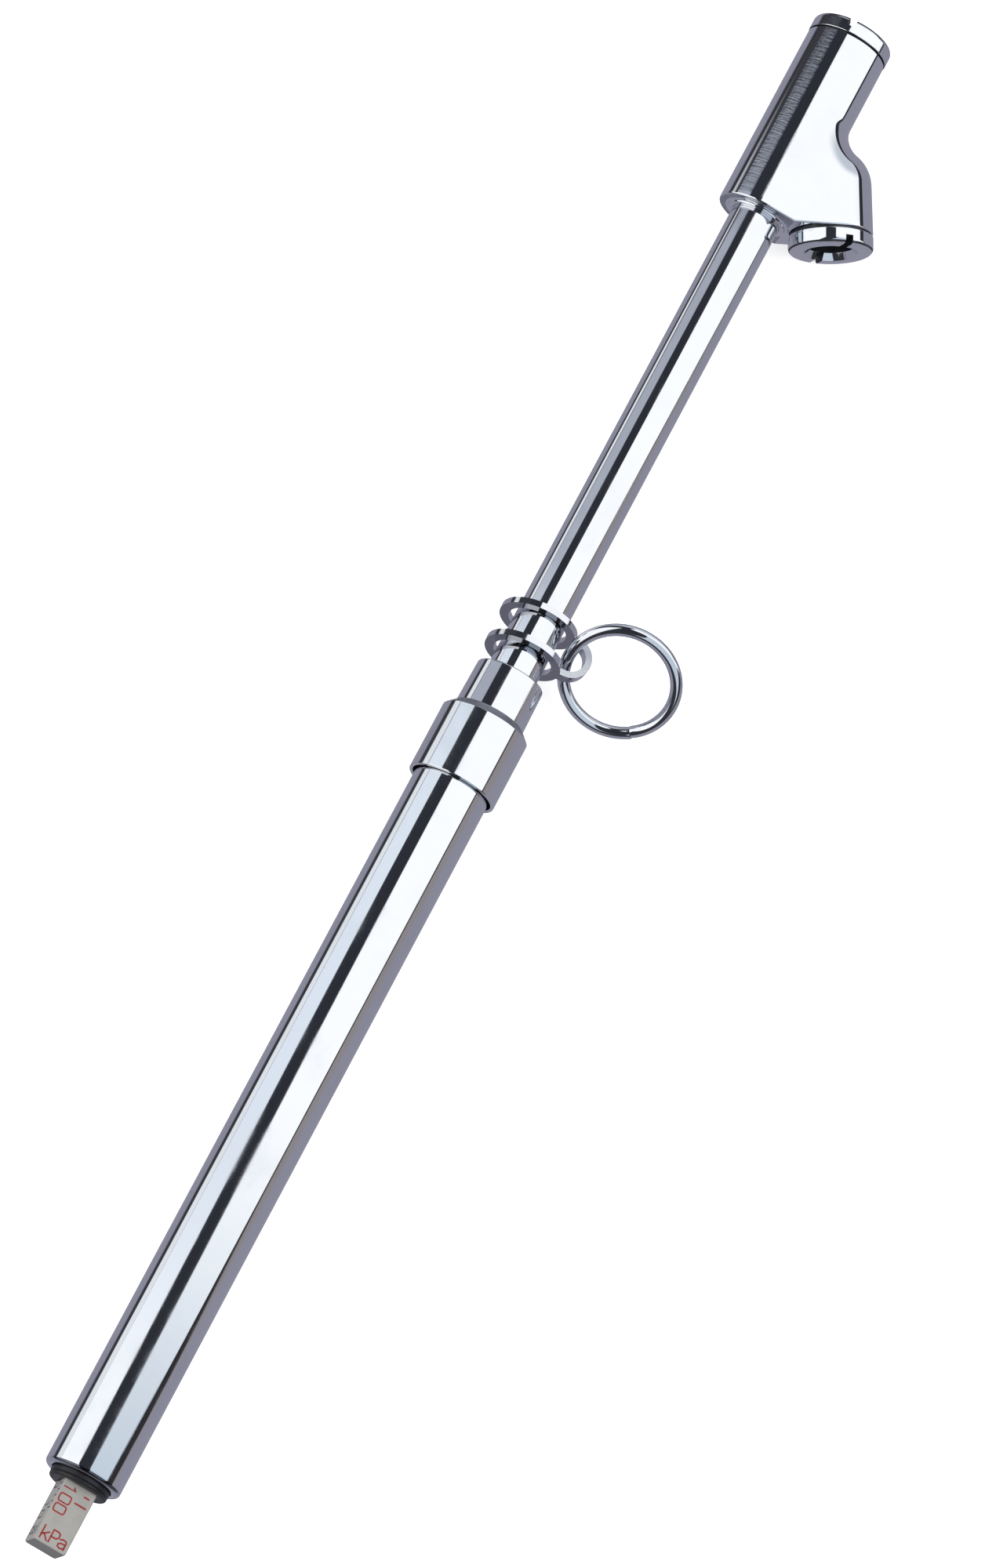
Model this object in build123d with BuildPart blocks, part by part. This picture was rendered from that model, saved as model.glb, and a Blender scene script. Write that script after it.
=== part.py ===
# Dual-foot pencil tire pressure gauge, lying on its side.
# The gauge's axis is X, towards the straight chuck. The web between the two chucks lies in XY,
# with the angled chuck towards -Y. The origin is on the axis, at the head's upper end face.
import os
from math import cos, degrees, hypot, radians, sin

from build123d import *

os.makedirs("parts", exist_ok=True)

# Clearances
FIT = 0.02            # radial, parts that are fixed together
RUNNING = 0.06        # radial, parts that slide in each other
LOOSE = 0.3           # between neighbours that must never touch
BREAK = 0.25          # small edge break on turned parts

# Tyre valve and chuck
valve_bore_r = 4.2
chuck_mouth_r = 4.95
chuck_mouth_depth = 1.3
cap_r = 7.7
cap_height = 3.3
cap_edge_r = 0.9
cap_relief = 0.3
cap_relief_depth = 0.45
cap_thread_r = 6.1
cap_thread_length = 4.2
slot_width = 1.45
slot_depth = 1.6
straight_slot_turn = -15.0
angled_slot_turn = -12.0
washer_thickness = 3.0
washer_hole_r = 2.3
pin_r = 0.9
pin_tip_r = 0.5
pin_length = 2.9          # just short of the washer's face, which the valve's rim squeezes back
pin_disc_thickness = 1.1
pin_disc_hole_r = 0.75
pin_disc_hole_circle_r = 3.4
pin_disc_holes = 6

# Head casting
head_r = 7.58
head_length = 36.4
boss_angle = 27.0         # between the angled chuck's axis and the gauge's axis
boss_cross_x = -6.2       # where the two axes cross
boss_seat_r = 7.75
boss_root_back = 9.0      # from the angled chuck's seat back to the centre of the boss's domed root
web_foot = 5.71           # flat underside of the web, from the gauge's axis to the slanted seat
web_half = 7.45           # also the radius of the boss's root and of the bridge
crotch_fillet = 4.6
head_edge_r = 0.4
stem_socket_depth = 6.2
stem_ring_width = 1.0
stem_ring_height = 0.5
head_passage_r = 1.6

# Shuttle valve in the passage between the chucks
ball_r = 1.95
shuttle_r = ball_r + RUNNING
shuttle_start = 6.4       # along the boss's axis, from where the axes cross
shuttle_seat_r = 1.2
shuttle_seat_length = 1.8

# Stem
stem_r = 4.62
stem_wall = 1.0

# Fitting between stem and barrel
fitting_top_x = -134.8
fitting_r = 6.6
fitting_top_r = 6.42
fitting_length = 8.5
fitting_edge_r = 0.35
fitting_thread_gap = 0.44  # between the plug's radius and the barrel's bore
fitting_thread_length = 6.4
fitting_bore_depth = 6.2
fitting_passage_r = 2.4

# Collar
collar_wall = 1.16        # over the barrel
collar_length = 14.8
collar_edge_r = 1.0
collar_lip_gap = 0.46     # the open lip's clearance round the barrel
collar_lip_depth = 2.0
gasket_thickness = 1.2
gasket_hole_r = 4.4

# Barrel
barrel_r = 7.14
barrel_wall = 0.5
barrel_end_x = -298.6
barrel_edge_r = 1.4
barrel_roll = 1.44        # how far in the lower end is rolled

# Piston
piston_start = 1.5        # from the gasket to the cup's lip
cup_lip = 2.6
cup_base = 1.6
cup_wall = 0.9
guide_length = 2.2
guide_gap = 0.34          # between the guide disc and the barrel
hub_gap = 0.7             # between the hub and the spring
hub_length = 5.4
spreader_r = 4.3
spreader_thickness = 0.6
screw_head_r = 2.3
screw_head_height = 1.1
screw_r = 1.25
screw_length = 7.0
screw_slot_width = 0.7
screw_slot_depth = 0.5

# Indicator bar
bar_side = 6.35
bar_chamfer = 0.35
bar_tip_chamfer = 0.7
bar_turn = 6.0
bar_out = 11.95           # past the bushing's outer face, as it stands at rest
bar_lead = 9.3            # how far the resting bar stands ahead of the piston
bar_seat_gap = 0.2

# End bushing and spring seat
bushing_flange_gap = 0.15  # between the flange's radius and the barrel's mouth
bushing_flange_edge = 0.75
bushing_out = 2.05
bushing_groove = 0.3
bushing_length = 7.6
bushing_bar_gap = 0.08
seat_thickness = 0.8
seat_hole_gap = 0.1       # between the seat's hole and the spring's inside

# Range spring
spring_wire = 1.4
spring_turns = 18

# Hanger clip
clip_ring_r = 7.25
clip_hole_r = 5.5
clip_thickness = 1.2
clip_from_fitting = 4.0   # how far up the stem it stands at rest
clip_span = 8.1           # over both rings
clip_reach = 11.6         # from the gauge's axis to the fold's outside
clip_neck_half = 1.2
clip_neck_fillet = 2.0
clip_tilt = 8.0           # its rings lean on the stem, about Y
clip_yaw = 2.0            # and a little about Z

# Key ring
ring_wire_r = 1.05
ring_mean_r = 10.1
ring_tilt = 45.0          # about Y, so that the wire passes over one neck and under the other
ring_offset = 8.0         # along the wire, from the eye to the point nearest the stem
ring_eye_y = -7.4
ring_gap = 0.16           # butt joint
ring_gap_at = 135.0

# Derived places along the gauge's axis
cavity_depth = cap_thread_length + washer_thickness + pin_disc_thickness
cavity_r = cap_thread_r + FIT
stem_end_x = fitting_top_x - fitting_bore_depth
collar_top_x = fitting_top_x - fitting_length
collar_end_x = collar_top_x - collar_length
gasket_x = collar_top_x - fitting_thread_length
barrel_top_x = gasket_x - gasket_thickness
cup_lip_x = barrel_top_x - piston_start
cup_face_x = cup_lip_x - cup_lip
cup_back_x = cup_face_x - cup_base
guide_back_x = cup_back_x - guide_length
hub_end_x = guide_back_x - hub_length
bushing_face_x = barrel_end_x - bushing_out
bushing_inner_x = barrel_end_x + barrel_wall + bushing_length
seat_inner_x = bushing_inner_x + seat_thickness
bar_tip_x = bushing_face_x - bar_out
bar_inner_x = hub_end_x - bar_lead - bar_seat_gap
stem_top_x = stem_socket_depth - head_length
clip_tail_x = fitting_top_x + clip_from_fitting

# Derived radii inside and round the barrel
barrel_bore_r = barrel_r - barrel_wall
barrel_mouth_r = barrel_r - barrel_roll
collar_r = barrel_r + collar_wall
fitting_thread_r = barrel_bore_r - fitting_thread_gap
bar_hole_side = bar_side + 2 * bushing_bar_gap
bar_corner_r = hypot(bar_side / 2, bar_side / 2 - bar_chamfer)
bushing_flange_r = barrel_mouth_r - bushing_flange_gap
bushing_neck_r = (barrel_mouth_r + hypot(bar_hole_side, bar_hole_side) / 2) / 2
spring_mean_r = (barrel_bore_r + bar_corner_r) / 2
seat_hole_r = spring_mean_r - spring_wire / 2 + seat_hole_gap
guide_r = barrel_bore_r - guide_gap
hub_r = spring_mean_r - spring_wire / 2 - hub_gap

# The two chuck seats: local X points out of the chuck's mouth, local Y lies in the web
lean_cos = cos(radians(boss_angle))
lean_sin = sin(radians(boss_angle))
boss_out = Vector(-lean_cos, -lean_sin, 0)
boss_cross = Vector(boss_cross_x, 0, 0)
boss_length = (head_length + boss_cross_x) * lean_cos + web_foot * lean_sin
angled_origin = boss_cross + boss_out * boss_length
STRAIGHT = Plane(origin=(0, 0, 0), x_dir=(1, 0, 0), z_dir=(0, 0, 1))
ANGLED = Plane(origin=angled_origin, x_dir=boss_out, z_dir=(0, 0, 1))


def axis_of(seat):
    """The chuck's own axis, out of its mouth."""
    return Axis(seat.origin, seat.x_dir)


def facing(seat, distance, turn=0.0):
    """A plane across the chuck's axis, turned about it; its local X starts along the object's Z."""
    start = seat.z_dir.rotate(axis_of(seat), turn)
    return Plane(origin=seat.origin + seat.x_dir * distance, x_dir=start, z_dir=seat.x_dir)


def across(x, turn=0.0):
    """A plane across the gauge's axis at x; its local X starts along the object's Y."""
    return Plane(origin=(x, 0, 0), x_dir=Vector(0, 1, 0).rotate(Axis.X, turn), z_dir=(1, 0, 0))


def finish(piece, label):
    """Label a finished piece and write it as one STEP file."""
    piece.label = label
    export_step(piece, f"parts/{label}.step")
    return piece


def chuck_cap(seat, slot_turn, label):
    """Retaining cap: slotted flange with a countersunk valve hole, and a plug that screws in."""
    outline = [
        (-cap_thread_length, valve_bore_r),
        (-cap_thread_length, cap_thread_r),
        (0, cap_thread_r),
        (0, cap_r - cap_relief_depth),
        (cap_relief, cap_r - cap_relief_depth),
        (cap_relief, cap_r),
        (cap_height, cap_r),
        (cap_height, chuck_mouth_r),
        (cap_height - chuck_mouth_depth, valve_bore_r),
    ]
    with BuildPart() as cap:
        with BuildSketch(seat):
            with BuildLine():
                Polyline(*outline, close=True)
            make_face()
        revolve(axis=axis_of(seat))
        front = cap.edges().filter_by(GeomType.CIRCLE).group_by(axis_of(seat))[-1]
        fillet(front.sort_by(SortBy.RADIUS)[-1], radius=cap_edge_r)
        with BuildSketch(facing(seat, cap_height, slot_turn)):
            Rectangle(3 * cap_r, slot_width)
        extrude(amount=-slot_depth, mode=Mode.SUBTRACT)
    return finish(cap.part, label)


def chuck_washer(seat, label):
    """Soft washer that the valve's rim is pressed against."""
    with BuildPart() as washer:
        with BuildSketch(facing(seat, -cap_thread_length)):
            Circle(cavity_r - FIT)
            Circle(washer_hole_r, mode=Mode.SUBTRACT)
        extrude(amount=-washer_thickness)
    return finish(washer.part, label)


def deflator_pin(seat, label):
    """Fixed pin on a disc with air holes; it opens the valve when the chuck is pressed on."""
    disc_front = -cap_thread_length - washer_thickness
    with BuildPart() as pin:
        with BuildSketch(facing(seat, disc_front)):
            Circle(cavity_r - FIT)
            with PolarLocations(pin_disc_hole_circle_r, pin_disc_holes):
                Circle(pin_disc_hole_r, mode=Mode.SUBTRACT)
        extrude(amount=-pin_disc_thickness)
        with BuildSketch(facing(seat, disc_front)):
            Circle(pin_r)
        extrude(amount=pin_length)
        tip = pin.faces().sort_by(axis_of(seat))[-1]
        fillet(tip.edges(), radius=pin_tip_r)
    return finish(pin.part, label)


# Head casting: two chuck bodies, the bridge between them and the flat web below it
root_centre = angled_origin - boss_out * boss_root_back
shuttle_port_end = (cavity_depth + boss_cross_x) / lean_cos - shuttle_seat_r
shuttle_end = boss_length - cavity_depth - shuttle_seat_length
ball_seat_lift = (ball_r**2 - shuttle_seat_r**2) ** 0.5
ball_centre = boss_cross + boss_out * (shuttle_end - ball_seat_lift - RUNNING)

with BuildPart() as head_casting:
    with BuildSketch(across(0)):
        Circle(head_r)
    extrude(amount=-head_length)
    # the boss widens a little towards its seat, and its root is a dome
    with BuildSketch(ANGLED):
        with BuildLine():
            Polyline(
                (-boss_root_back - web_half, 0),
                (0, 0),
                (0, boss_seat_r),
                (-boss_root_back, web_half),
            )
            CenterArc((-boss_root_back, 0), web_half, 90, 90)
        make_face()
    revolve(axis=axis_of(ANGLED))
    with BuildSketch(Plane(origin=root_centre, x_dir=(1, 0, 0), z_dir=(0, -1, 0))):
        Circle(web_half)
    extrude(amount=root_centre.Y)
    with BuildSketch(Plane.XY.offset(-web_half)):
        with BuildLine():
            Polyline(
                (-head_length, 0),
                (-head_length, -web_foot),
                (angled_origin.X, angled_origin.Y),
                (root_centre.X, root_centre.Y),
                (root_centre.X, 0),
                close=True,
            )
        make_face()
    extrude(amount=2 * web_half)
    crotch = [e for e in head_casting.edges().filter_by(GeomType.BSPLINE) if (e @ 0.5).X > root_centre.X]
    fillet(crotch, radius=crotch_fillet)
    underside = head_casting.faces().filter_by(Plane.YZ).sort_by(Axis.X)[0]
    fillet(underside.edges().filter_by(GeomType.CIRCLE).sort_by(Axis.Y)[-2:], radius=head_edge_r)
    # raised ring round the stem
    with BuildSketch(across(-head_length - stem_ring_height)):
        Circle(stem_r + stem_ring_width)
    extrude(amount=stem_ring_height + head_edge_r)
    # spot face that seats the angled cap
    with BuildSketch(facing(ANGLED, 0)):
        Circle(cap_r + LOOSE)
    extrude(amount=cap_height, mode=Mode.SUBTRACT)
    # chuck cavities
    for seat in (STRAIGHT, ANGLED):
        with BuildSketch(facing(seat, 0)):
            Circle(cavity_r)
        extrude(amount=-cavity_depth, mode=Mode.SUBTRACT)
    # stem socket and the air passage above it, up to the shuttle's chamber
    with BuildSketch(across(-head_length - stem_ring_height)):
        Circle(stem_r + FIT)
    extrude(amount=stem_socket_depth + stem_ring_height, mode=Mode.SUBTRACT)
    with BuildSketch(across(-head_length)):
        Circle(head_passage_r)
    extrude(amount=head_length - cavity_depth - shuttle_start / 2, mode=Mode.SUBTRACT)
    # the shuttle's chamber, drilled from the angled cavity, and its small port to the straight one
    with BuildSketch(facing(ANGLED, -cavity_depth)):
        Circle(shuttle_r)
    extrude(amount=-(boss_length - cavity_depth - shuttle_start), mode=Mode.SUBTRACT)
    with BuildSketch(facing(ANGLED, shuttle_start - boss_length)):
        Circle(shuttle_seat_r)
    extrude(amount=-(shuttle_start - shuttle_port_end), mode=Mode.SUBTRACT)
finish(head_casting.part, "head_casting")

straight_chuck_cap = chuck_cap(STRAIGHT, straight_slot_turn, "straight_chuck_cap")
angled_chuck_cap = chuck_cap(ANGLED, angled_slot_turn, "angled_chuck_cap")
straight_chuck_washer = chuck_washer(STRAIGHT, "straight_chuck_washer")
angled_chuck_washer = chuck_washer(ANGLED, "angled_chuck_washer")
straight_deflator_pin = deflator_pin(STRAIGHT, "straight_deflator_pin")
angled_deflator_pin = deflator_pin(ANGLED, "angled_deflator_pin")

# Shuttle seat: a bored plug pressed into the chamber's angled end
with BuildPart() as shuttle_seat:
    with BuildSketch(facing(ANGLED, -cavity_depth)):
        Circle(shuttle_r)
        Circle(shuttle_seat_r, mode=Mode.SUBTRACT)
    extrude(amount=-shuttle_seat_length)
finish(shuttle_seat.part, "shuttle_seat")

# Shuttle ball, resting on the seat of the angled chuck's side
with BuildPart(Plane(origin=ball_centre)) as shuttle_ball:
    Sphere(ball_r)
finish(shuttle_ball.part, "shuttle_ball")

# Stem: plain tube, with its mouth in the head's passage
with BuildPart() as stem_tube:
    with BuildSketch(across(stem_end_x)):
        Circle(stem_r)
        Circle(stem_r - stem_wall, mode=Mode.SUBTRACT)
    extrude(amount=stem_top_x - stem_end_x)
finish(stem_tube.part, "stem_tube")

# Fitting: a slightly tapered step that takes the stem, and a plug that screws into the collar
with BuildPart() as stem_fitting:
    with BuildSketch(Plane.XY):
        with BuildLine():
            Polyline(
                (fitting_top_x, stem_r + FIT),
                (fitting_top_x, fitting_top_r),
                (collar_top_x, fitting_r),
                (collar_top_x, fitting_thread_r),
                (gasket_x, fitting_thread_r),
                (gasket_x, fitting_passage_r),
                (stem_end_x, fitting_passage_r),
                (stem_end_x, stem_r + FIT),
                close=True,
            )
        make_face()
    revolve(axis=Axis.X)
    top_edges = stem_fitting.edges().filter_by(GeomType.CIRCLE).group_by(Axis.X)[-1]
    fillet(top_edges.sort_by(SortBy.RADIUS)[-1], radius=fitting_edge_r)
finish(stem_fitting.part, "stem_fitting")

# Collar: joins the fitting to the barrel; its open lip stands clear of the barrel
with BuildPart() as barrel_collar:
    with BuildSketch(Plane.XY):
        with BuildLine():
            Polyline(
                (collar_top_x, fitting_thread_r + FIT),
                (collar_top_x, collar_r),
                (collar_end_x, collar_r),
                (collar_end_x, barrel_r + collar_lip_gap),
                (collar_end_x + collar_lip_depth, barrel_r + collar_lip_gap),
                (collar_end_x + collar_lip_depth, barrel_r + FIT),
                (gasket_x, barrel_r + FIT),
                (gasket_x, fitting_thread_r + FIT),
                close=True,
            )
        make_face()
    revolve(axis=Axis.X)
    top_edges = barrel_collar.edges().filter_by(GeomType.CIRCLE).group_by(Axis.X)[-1]
    fillet(top_edges.sort_by(SortBy.RADIUS)[-1], radius=collar_edge_r)
    lip_edges = barrel_collar.edges().filter_by(GeomType.CIRCLE).group_by(Axis.X)[0]
    fillet(lip_edges.sort_by(SortBy.RADIUS)[-1], radius=BREAK)
finish(barrel_collar.part, "barrel_collar")

# Gasket between the fitting's plug and the barrel's end
with BuildPart() as collar_gasket:
    with BuildSketch(across(barrel_top_x)):
        Circle(barrel_r)
        Circle(gasket_hole_r, mode=Mode.SUBTRACT)
    extrude(amount=gasket_thickness)
finish(collar_gasket.part, "collar_gasket")

# Barrel: thin tube, rolled in at its lower end over the bushing
with BuildPart() as barrel_tube:
    with BuildSketch(Plane.XY):
        with BuildLine():
            Polyline(
                (barrel_end_x, barrel_mouth_r),
                (barrel_end_x, barrel_r - barrel_edge_r),
            )
            CenterArc((barrel_end_x + barrel_edge_r, barrel_r - barrel_edge_r), barrel_edge_r, 90, 90)
            Polyline(
                (barrel_end_x + barrel_edge_r, barrel_r),
                (barrel_top_x, barrel_r),
                (barrel_top_x, barrel_bore_r),
                (barrel_end_x + barrel_edge_r, barrel_bore_r),
            )
            CenterArc(
                (barrel_end_x + barrel_edge_r, barrel_r - barrel_edge_r), barrel_edge_r - barrel_wall, 90, 90
            )
            Polyline(
                (barrel_end_x + barrel_wall, barrel_r - barrel_edge_r),
                (barrel_end_x + barrel_wall, barrel_mouth_r),
                (barrel_end_x, barrel_mouth_r),
            )
        make_face()
    revolve(axis=Axis.X)
finish(barrel_tube.part, "barrel_tube")

# Piston cup: soft disc with a lip towards the air, sliding in the barrel
cup_r = barrel_bore_r - RUNNING
with BuildPart() as piston_cup:
    with BuildSketch(Plane.XY):
        with BuildLine():
            Polyline(
                (cup_back_x, screw_r + FIT),
                (cup_back_x, cup_r - BREAK),
                (cup_back_x + BREAK, cup_r),
                (cup_lip_x, cup_r),
                (cup_face_x + BREAK, cup_r - cup_wall),
                (cup_face_x, cup_r - cup_wall - BREAK),
                (cup_face_x, screw_r + FIT),
                close=True,
            )
        make_face()
    revolve(axis=Axis.X)
finish(piston_cup.part, "piston_cup")

# Piston body: guide disc behind the cup, and a hub inside the spring
with BuildPart() as piston_body:
    with BuildSketch(across(cup_back_x)):
        Circle(guide_r)
    extrude(amount=-guide_length)
    with BuildSketch(across(guide_back_x)):
        Circle(hub_r)
    extrude(amount=-hub_length)
    hub_rim = piston_body.edges().filter_by(GeomType.CIRCLE).group_by(Axis.X)[0]
    chamfer(hub_rim, length=2 * BREAK)
    with Locations(across(cup_back_x)):
        Hole(radius=screw_r + FIT, depth=screw_length - spreader_thickness - cup_base)
finish(piston_body.part, "piston_body")

# Spreader washer under the screw's head
with BuildPart() as cup_washer:
    with BuildSketch(across(cup_face_x)):
        Circle(spreader_r)
        Circle(screw_r + FIT, mode=Mode.SUBTRACT)
    extrude(amount=spreader_thickness)
finish(cup_washer.part, "cup_washer")

# Piston screw: slotted cheese head
screw_seat_x = cup_face_x + spreader_thickness
with BuildPart() as piston_screw:
    with BuildSketch(across(screw_seat_x)):
        Circle(screw_head_r)
    extrude(amount=screw_head_height)
    with BuildSketch(across(screw_seat_x)):
        Circle(screw_r)
    extrude(amount=-screw_length)
    head_rim = piston_screw.edges().filter_by(GeomType.CIRCLE).group_by(Axis.X)[-1]
    fillet(head_rim, radius=BREAK)
    with BuildSketch(across(screw_seat_x + screw_head_height)):
        Rectangle(3 * screw_head_r, screw_slot_width)
    extrude(amount=-screw_slot_depth, mode=Mode.SUBTRACT)
finish(piston_screw.part, "piston_screw")

# Range spring: open coils from the piston's disc to the spring seat
spring_room = guide_back_x - seat_inner_x
spring_height = spring_room - spring_wire - 2 * RUNNING
spring_pitch = spring_height / spring_turns
spring_foot_x = seat_inner_x + spring_wire / 2 + RUNNING
with BuildPart() as range_spring:
    with BuildLine():
        coil = Helix(
            spring_pitch, spring_height, spring_mean_r, center=(spring_foot_x, 0, 0), direction=(1, 0, 0)
        )
    with BuildSketch(Plane(origin=coil @ 0, z_dir=coil % 0)):
        Circle(spring_wire / 2)
    sweep(path=coil, is_frenet=True)
finish(range_spring.part, "range_spring")

# Spring seat: steel washer on the bushing's inner end
with BuildPart() as spring_seat_washer:
    with BuildSketch(across(bushing_inner_x)):
        Circle(barrel_bore_r - FIT)
        Circle(seat_hole_r, mode=Mode.SUBTRACT)
    extrude(amount=seat_thickness)
finish(spring_seat_washer.part, "spring_seat_washer")

# End bushing: held by the barrel's rolled end, with a square hole for the bar
with BuildPart() as end_bushing:
    with BuildSketch(across(bushing_inner_x)):
        Circle(barrel_bore_r - FIT)
    extrude(amount=-(bushing_length - barrel_edge_r))
    with BuildSketch(across(barrel_end_x + barrel_wall)):
        Circle(bushing_neck_r)
    extrude(amount=barrel_edge_r)
    with BuildSketch(across(barrel_end_x + barrel_wall)):
        Circle(bushing_neck_r)
    extrude(amount=-(barrel_wall + bushing_groove))
    with BuildSketch(across(barrel_end_x - bushing_groove)):
        Circle(bushing_flange_r)
    extrude(amount=bushing_groove - bushing_out)
    outer_rim = end_bushing.edges().filter_by(GeomType.CIRCLE).group_by(Axis.X)[0]
    fillet(outer_rim, radius=bushing_flange_edge)
    with BuildSketch(across(bushing_face_x, bar_turn)):
        Rectangle(bar_hole_side, bar_hole_side)
    extrude(amount=bushing_inner_x - bushing_face_x, mode=Mode.SUBTRACT)
finish(end_bushing.part, "end_bushing")

# Indicator bar: square, with small chamfers along its edges and round its tip
with BuildPart() as indicator_bar:
    with BuildSketch(across(bar_tip_x, bar_turn)):
        Rectangle(bar_side, bar_side)
    extrude(amount=bar_inner_x - bar_tip_x)
    tip = indicator_bar.faces().sort_by(Axis.X)[0]
    chamfer(tip.edges(), length=bar_tip_chamfer)
    long_edges = indicator_bar.edges().filter_by(Axis.X)
    chamfer(long_edges, length=bar_chamfer)
finish(indicator_bar.part, "indicator_bar")

# Hanger clip: a strip folded double, with a ring at each end round the stem
clip_fold_r = clip_span / 2
clip_mid_x = clip_tail_x + clip_fold_r
clip_fold_y = clip_fold_r - clip_reach
clip_middle = Location((clip_mid_x, 0, 0))
clip_lean = clip_middle * Location((0, 0, 0), (0, clip_tilt, clip_yaw)) * clip_middle.inverse()
with BuildPart() as hanger_clip:
    # the strip seen along the gauge's axis: ring, neck and the fold's width
    with BuildSketch(across(clip_tail_x)) as blank:
        Circle(clip_ring_r)
        with Locations((clip_fold_y / 2, 0)):
            Rectangle(-clip_fold_y, 2 * clip_neck_half)
        neck_roots = [v for v in blank.vertices() if abs(v.Z) > 0.9 * clip_neck_half and v.Y > clip_fold_y + 0.1]
        fillet(neck_roots, radius=clip_neck_fillet)
        Circle(clip_hole_r, mode=Mode.SUBTRACT)
    extrude(amount=clip_span)
    with BuildSketch(across(clip_tail_x + clip_thickness)):
        Rectangle(4 * clip_ring_r, 4 * clip_ring_r)
    extrude(amount=clip_span - 2 * clip_thickness, mode=Mode.SUBTRACT)
    # the fold
    with BuildSketch(Plane.XY.offset(-clip_neck_half)):
        with Locations((clip_mid_x, clip_fold_y)):
            Circle(clip_fold_r)
            Circle(clip_fold_r - clip_thickness, mode=Mode.SUBTRACT)
            with Locations((0, clip_fold_r)):
                Rectangle(2 * clip_span, 2 * clip_fold_r, mode=Mode.SUBTRACT)
    extrude(amount=2 * clip_neck_half)
finish(clip_lean * hanger_clip.part, "hanger_clip")

# Key ring: round wire through the clip's eye, with a butt joint
ring_along = Vector(cos(radians(ring_tilt)), 0, sin(radians(ring_tilt)))
ring_out = Vector(0, -1, 0)
ring_eye = Vector(clip_mid_x, ring_eye_y, 0)
ring_centre = (
    ring_eye
    + ring_out * (ring_mean_r * cos(radians(ring_offset)))
    + ring_along * (ring_mean_r * sin(radians(ring_offset)))
)
ring_plane = Plane(origin=ring_centre, x_dir=ring_out, z_dir=ring_out.cross(ring_along))
gap_angle = degrees(ring_gap / ring_mean_r)
with BuildPart() as key_ring:
    with BuildLine(ring_plane):
        wire = CenterArc((0, 0), ring_mean_r, ring_gap_at + gap_angle / 2, 360 - gap_angle)
    with BuildSketch(Plane(origin=wire @ 0, z_dir=wire % 0)):
        Circle(ring_wire_r)
    sweep(path=wire)
finish(key_ring.part, "key_ring")
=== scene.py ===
import math

import bmesh
import bpy
import numpy as np
from mathutils import Matrix, Vector


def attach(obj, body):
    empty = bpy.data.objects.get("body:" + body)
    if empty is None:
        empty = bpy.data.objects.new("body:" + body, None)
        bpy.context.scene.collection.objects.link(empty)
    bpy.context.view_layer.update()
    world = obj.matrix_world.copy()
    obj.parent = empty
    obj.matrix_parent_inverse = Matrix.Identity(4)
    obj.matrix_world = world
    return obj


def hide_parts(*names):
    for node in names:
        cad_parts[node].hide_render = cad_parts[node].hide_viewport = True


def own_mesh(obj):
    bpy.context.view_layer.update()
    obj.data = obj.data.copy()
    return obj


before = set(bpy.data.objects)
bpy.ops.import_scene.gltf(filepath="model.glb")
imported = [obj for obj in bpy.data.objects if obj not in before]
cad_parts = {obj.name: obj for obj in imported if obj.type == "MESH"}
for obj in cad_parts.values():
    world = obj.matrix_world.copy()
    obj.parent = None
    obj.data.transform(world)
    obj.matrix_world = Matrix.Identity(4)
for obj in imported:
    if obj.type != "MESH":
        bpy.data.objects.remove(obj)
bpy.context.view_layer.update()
scene = bpy.context.scene

# Pencil tire pressure gauge. X is its axis and +X points out of the straight chuck; -Y is the side
# of the angled chuck and the key ring; +Z points up off the floor.
MM = 0.001
X_AXIS, Y_AXIS, Z_AXIS = np.eye(3)


# Node helpers


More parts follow.
